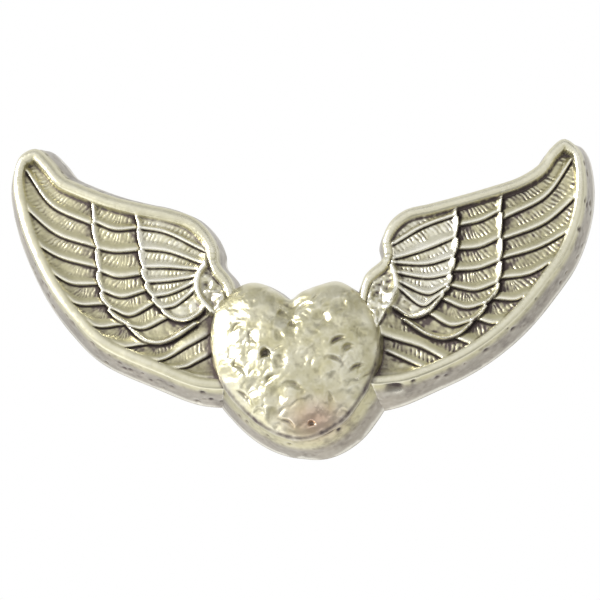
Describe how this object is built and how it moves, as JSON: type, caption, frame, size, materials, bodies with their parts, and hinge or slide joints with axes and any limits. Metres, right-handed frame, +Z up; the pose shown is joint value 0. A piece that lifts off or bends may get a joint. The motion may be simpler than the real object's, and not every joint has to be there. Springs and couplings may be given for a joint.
{
  "type": "pilot wings pin",
  "caption": "Winged heart badge: domed cast heart between two cast feather wings, riveted to a brooch bar with a hinged stem and a roll-over catch.",
  "frame": {"origin": "middle of the brooch bar's rear face, which lies against the garment", "axes": "+X to the right of someone facing the badge, +Y into the garment, +Z up as worn"},
  "size_m": [0.079, 0.0149, 0.0433],
  "materials": {
    "antique_silver": "cast and polished silver with purple-brown patina in the recesses",
    "nickel_silver": "satin nickel silver",
    "spring_steel": "bright drawn steel",
    "rivet_brass": "peened brass, lightly tarnished"
  },
  "bodies": {
    "badge": {"heart": "antique_silver", "left_wing": "antique_silver", "right_wing": "antique_silver", "pin_bar": "nickel_silver", "rivet_left_outer": "rivet_brass", "rivet_left_inner": "rivet_brass", "rivet_right_inner": "rivet_brass", "rivet_right_outer": "rivet_brass", "hinge_bracket": "nickel_silver", "hinge_pin": "spring_steel", "catch_housing": "nickel_silver"},
    "stem": {"pin_stem": "spring_steel"},
    "rotor": {"catch_rotor": "nickel_silver"}
  },
  "joints": [
    {"name": "stem_swing", "type": "hinge", "parent": "badge", "child": "stem", "pos_m": [-0.0235, 0.003, 0], "axis": [0, 0, 1], "range_deg": [0, 85]},
    {"name": "catch_turn", "type": "hinge", "parent": "badge", "child": "rotor", "pos_m": [0.021, 0.003, 0], "axis": [-1, 0, 0], "range_deg": [0, 160]}
  ]
}
